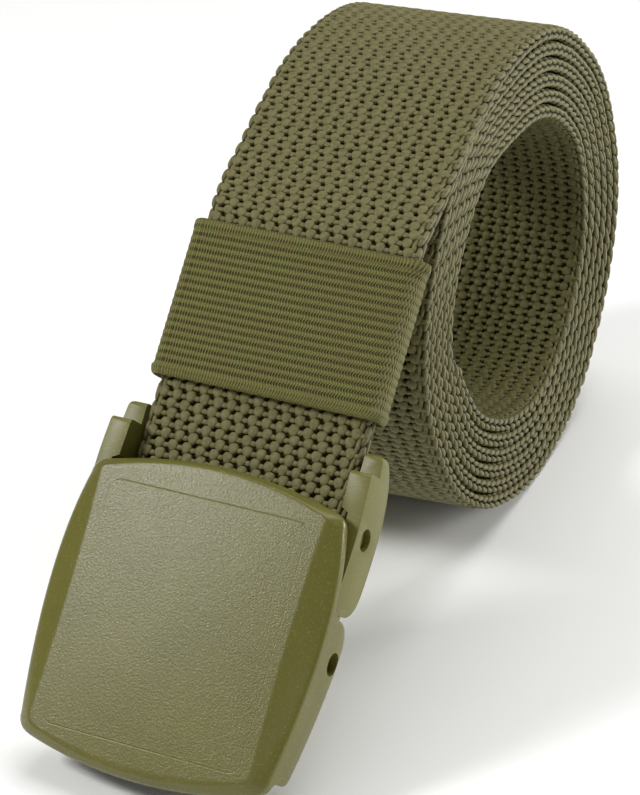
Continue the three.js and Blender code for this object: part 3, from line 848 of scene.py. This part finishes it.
def skirt_rings():
    """Rings from the underside down inside the skirts, round their foot and up outside."""
    foot = skirt_foot()
    feet = {}
    for side in (1, -1):
        edge = [
            i for i, p in enumerate(plate_outline)
            if SKIRT_END <= p.y <= SKIRT_START and p.x * side > 20]
        edge.sort(key=lambda i: plate_outline[i].y)
        feet.update(zip(edge, spread(foot, len(edge))))
    rings = []
    for inset, down in SKIRT_RINGS:
        inner = cover_outline(PLATE, PLATE_CORNERS, inset)
        ring = []
        for i, top in enumerate(plate_outline):
            if i in feet:
                along = top.y + (feet[i].x - top.y) * down
                level = EDGE_SIDE + (feet[i].y - EDGE_SIDE) * down
                across = math.copysign(side_half(along) - inset, top.x)
                ring.append(Vector((across, along, level)))
            else:
                point = inner[i]
                share = 1 if inset > 1 else down
                level = EDGE_SIDE + (EDGE_UNDER - EDGE_SIDE) * share
                ring.append(Vector((point.x, point.y, max(level, heel_level(point)))))
        rings.append(ring)
    return rings


def level_ring(points, level):
    return [Vector((p.x, p.y, level)) for p in points]


def field_ring(points, sunk=0):
    """A ring on the field, sunk where the groove runs, and less so along its sides."""
    ring = []
    for p in points:
        share = 0.2 + 0.8 * min(1, (PANEL_HALF - abs(p.x)) / 2) if sunk else 0
        ring.append(Vector((p.x, p.y, field_level(p) - sunk * share)))
    return ring


def between(first, second, share):
    """The ring at this share of the way from one ring to another."""
    return [a.lerp(b, share) for a, b in zip(first, second)]


def cover_rings():
    """All rings with their share of grain, from the underside to the field's middle."""
    rows = [
        (level_ring(cover_outline(PLATE, PLATE_CORNERS, inset), level), 0)
        for inset, level in HOLLOW_RINGS]
    rows += [(ring, 0) for ring in skirt_rings()]
    crease = cover_outline(CREASE, CREASE_CORNERS, 0, CREASE_INSETS)
    for share, level, grain in CHAMFER_RINGS:
        rows.append((level_ring(between(plate_outline, crease, share), level), grain))
    rim = panel_outline(0)
    rows += [(field_ring(between(crease, rim, share)), 1) for share in MARGIN_RINGS]
    rows += [(field_ring(panel_outline(inset), sunk), 1) for inset, sunk in GROOVE_RINGS]
    panel = panel_outline(GROOVE_RINGS[-1][0])
    centre = [MIDDLE] * len(panel)
    rows += [(field_ring(between(panel, centre, share)), 1) for share in PANEL_RINGS]
    return rows


def buckle_lid():
    bm = bmesh.new()
    grain = bm.verts.layers.float.new("grain")
    rings = cover_rings()
    first, _ = rings[0]
    verts = [bm.verts.new(point) for point in first]
    edges = [bm.edges.new((verts[i - 1], verts[i])) for i in range(len(verts))]
    bm.faces.new(verts)
    for ring, share in rings[1:]:
        grown = bmesh.ops.extrude_edge_only(bm, edges=edges)["geom"]
        edges = only(bmesh.types.BMEdge, grown)
        # A grown vertex still lies on the one it came from, which gives its step.
        new_verts = [None] * len(verts)
        for vert in only(bmesh.types.BMVert, grown):
            i = min(range(len(verts)), key=lambda i: (verts[i].co - vert.co).length)
            new_verts[i] = vert
        for vert, point in zip(new_verts, ring):
            vert.co = point
            vert[grain] = share
        verts = new_verts
    bm.faces.new(verts)
    bmesh.ops.recalc_face_normals(bm, faces=bm.faces[:])
    return finish_piece("buckle_lid", bm, grained_acetal, "cover", in_buckle)


def bored(piece, along, level, radius):
    """Cuts a round hole right across a piece of the buckle."""
    bm = bmesh.new()
    turn = Matrix.Translation((0, along, level)) @ Matrix.Rotation(math.radians(90), 4, "Y")
    bmesh.ops.create_cone(
        bm, cap_ends=True, segments=HOLE_SIDES, radius1=radius, radius2=radius,
        depth=DRILL_LENGTH, matrix=turn)
    bmesh.ops.transform(bm, matrix=Matrix.Scale(MM, 4) @ buckle_matrix, verts=bm.verts[:])
    mesh = bpy.data.meshes.new("drill")
    bm.to_mesh(mesh)
    bm.free()
    drill = bpy.data.objects.new("drill", mesh)
    scene.collection.objects.link(drill)
    hole = piece.modifiers.new("hole", "BOOLEAN")
    hole.object = drill
    hole.operation = "DIFFERENCE"
    hole.solver = "EXACT"
    bpy.context.view_layer.update()
    solid = piece.evaluated_get(bpy.context.evaluated_depsgraph_get())
    piece.data = bpy.data.meshes.new_from_object(solid)
    piece.modifiers.clear()
    bpy.data.objects.remove(drill)
    piece.data.set_sharp_from_angle(angle=CREASE_ANGLE)


lid = buckle_lid()
bored(lid, *LATCH_HOLE, HOLE_RADIUS)
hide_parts("buckle_cover")


# Buckle: the moulded shapes of the solids with their edges rounded off.
LUG_ROUNDING, BODY_ROUNDING = 0.15, 0.7
LUG_TOP, LUG_FOOT = 4.85, -12
# The step in each cheek's rim starts a little lower than in the solid, under the corner
# of the cover: its places across and along, and how far it moves.
RIM_ACROSS, RIM_ALONG, RIM_DROP = (19.5, 20.95), (2.2, 3.0), 0.32


def node_copy(node):
    """The node's shape as a merged mesh, in millimetres on the buckle."""
    bm = bmesh.new()
    bm.from_mesh(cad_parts[node].data)
    to_buckle = (Matrix.Scale(MM, 4) @ buckle_matrix).inverted()
    bmesh.ops.transform(bm, matrix=to_buckle, verts=bm.verts[:])
    bmesh.ops.remove_doubles(bm, verts=bm.verts[:], dist=0.01)
    bmesh.ops.dissolve_limit(
        bm, angle_limit=math.radians(1), verts=bm.verts[:], edges=bm.edges[:])
    return bm


def soften(piece, radius):
    """Rounds every edge that turns by more than a facet of a curve does."""
    bevel = piece.modifiers.new("soft_edges", "BEVEL")
    bevel.width = radius * MM
    bevel.segments = 3
    bevel.limit_method = "ANGLE"
    bevel.angle_limit = math.radians(25)
    bevel.use_clamp_overlap = True
    bevel.harden_normals = True


def hinge_lugs():
    """The cam and the two lugs with their stub pins, under the cover's upper end."""
    bm = node_copy("buckle_cover")
    for place, normal in (((0, 0, LUG_TOP), (0, 0, 1)), ((0, LUG_FOOT, 0), (0, -1, 0))):
        bmesh.ops.bisect_plane(
            bm, geom=all_parts(bm), plane_co=place, plane_no=normal, clear_outer=True)
    bmesh.ops.holes_fill(bm, edges=bm.edges[:])
    piece = finish_piece("hinge_lugs", bm, satin_acetal, "cover", in_buckle)
    soften(piece, LUG_ROUNDING)


def buckle_body():
    bm = node_copy("buckle_frame")
    for vert in bm.verts:
        on_rim = RIM_ACROSS[0] < abs(vert.co.x) < RIM_ACROSS[1]
        if on_rim and RIM_ALONG[0] < vert.co.y < RIM_ALONG[1]:
            vert.co.y -= RIM_DROP
    piece = finish_piece("buckle_body", bm, satin_acetal, "belt", in_buckle)
    soften(piece, BODY_ROUNDING)
    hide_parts("buckle_frame")


hinge_lugs()
buckle_body()


# Floor and light: white paper, a small key light that gives the cover its shine, and
# large soft boxes above, at the side and in front.
def floor_sheet():
    bm = bmesh.new()
    bmesh.ops.create_grid(bm, x_segments=1, y_segments=1, size=6)
    mesh = bpy.data.meshes.new("floor")
    bm.to_mesh(mesh)
    bm.free()
    paper, _ = new_material("matt_white_paper", "f7f7f5", 0.9)
    mesh.materials.append(paper)
    floor = bpy.data.objects.new("floor", mesh)
    floor.location.z = -0.0002  # a hair under the lowest yarns, which it would cut
    scene.collection.objects.link(floor)


def soft_box(name, direction, distance, size, power, target=(0, 0, 0.045)):
    light = bpy.data.lights.new(name, "AREA")
    light.shape = "RECTANGLE"
    light.size, light.size_y = size
    light.energy = power
    lamp = bpy.data.objects.new(name, light)
    out = Vector(direction).normalized()
    lamp.location = Vector(target) + out * distance
    lamp.rotation_euler = out.to_track_quat("Z", "Y").to_euler()
    scene.collection.objects.link(lamp)


floor_sheet()
soft_box("key_soft_box", (-0.586, -0.438, 0.682), 0.6, (0.16, 0.14), 2.65, (0, -0.07, 0.025))
soft_box("top_soft_box", (0.1, 0.3, 1), 1.1, (0.9, 0.9), 8)
soft_box("side_soft_box", (0.85, 0.5, 0.2), 1.0, (0.6, 0.36), 9)
soft_box("front_soft_box", (0.3, -0.9, 0.3), 1.3, (0.8, 0.7), 1.6)

world = bpy.data.worlds.new("studio")
world.use_nodes = True
backdrop = world.node_tree.nodes["Background"]
backdrop.inputs["Color"].default_value = (0.97, 0.98, 1.0, 1)
backdrop.inputs["Strength"].default_value = 0.18
scene.world = world
scene.view_settings.view_transform = "Standard"
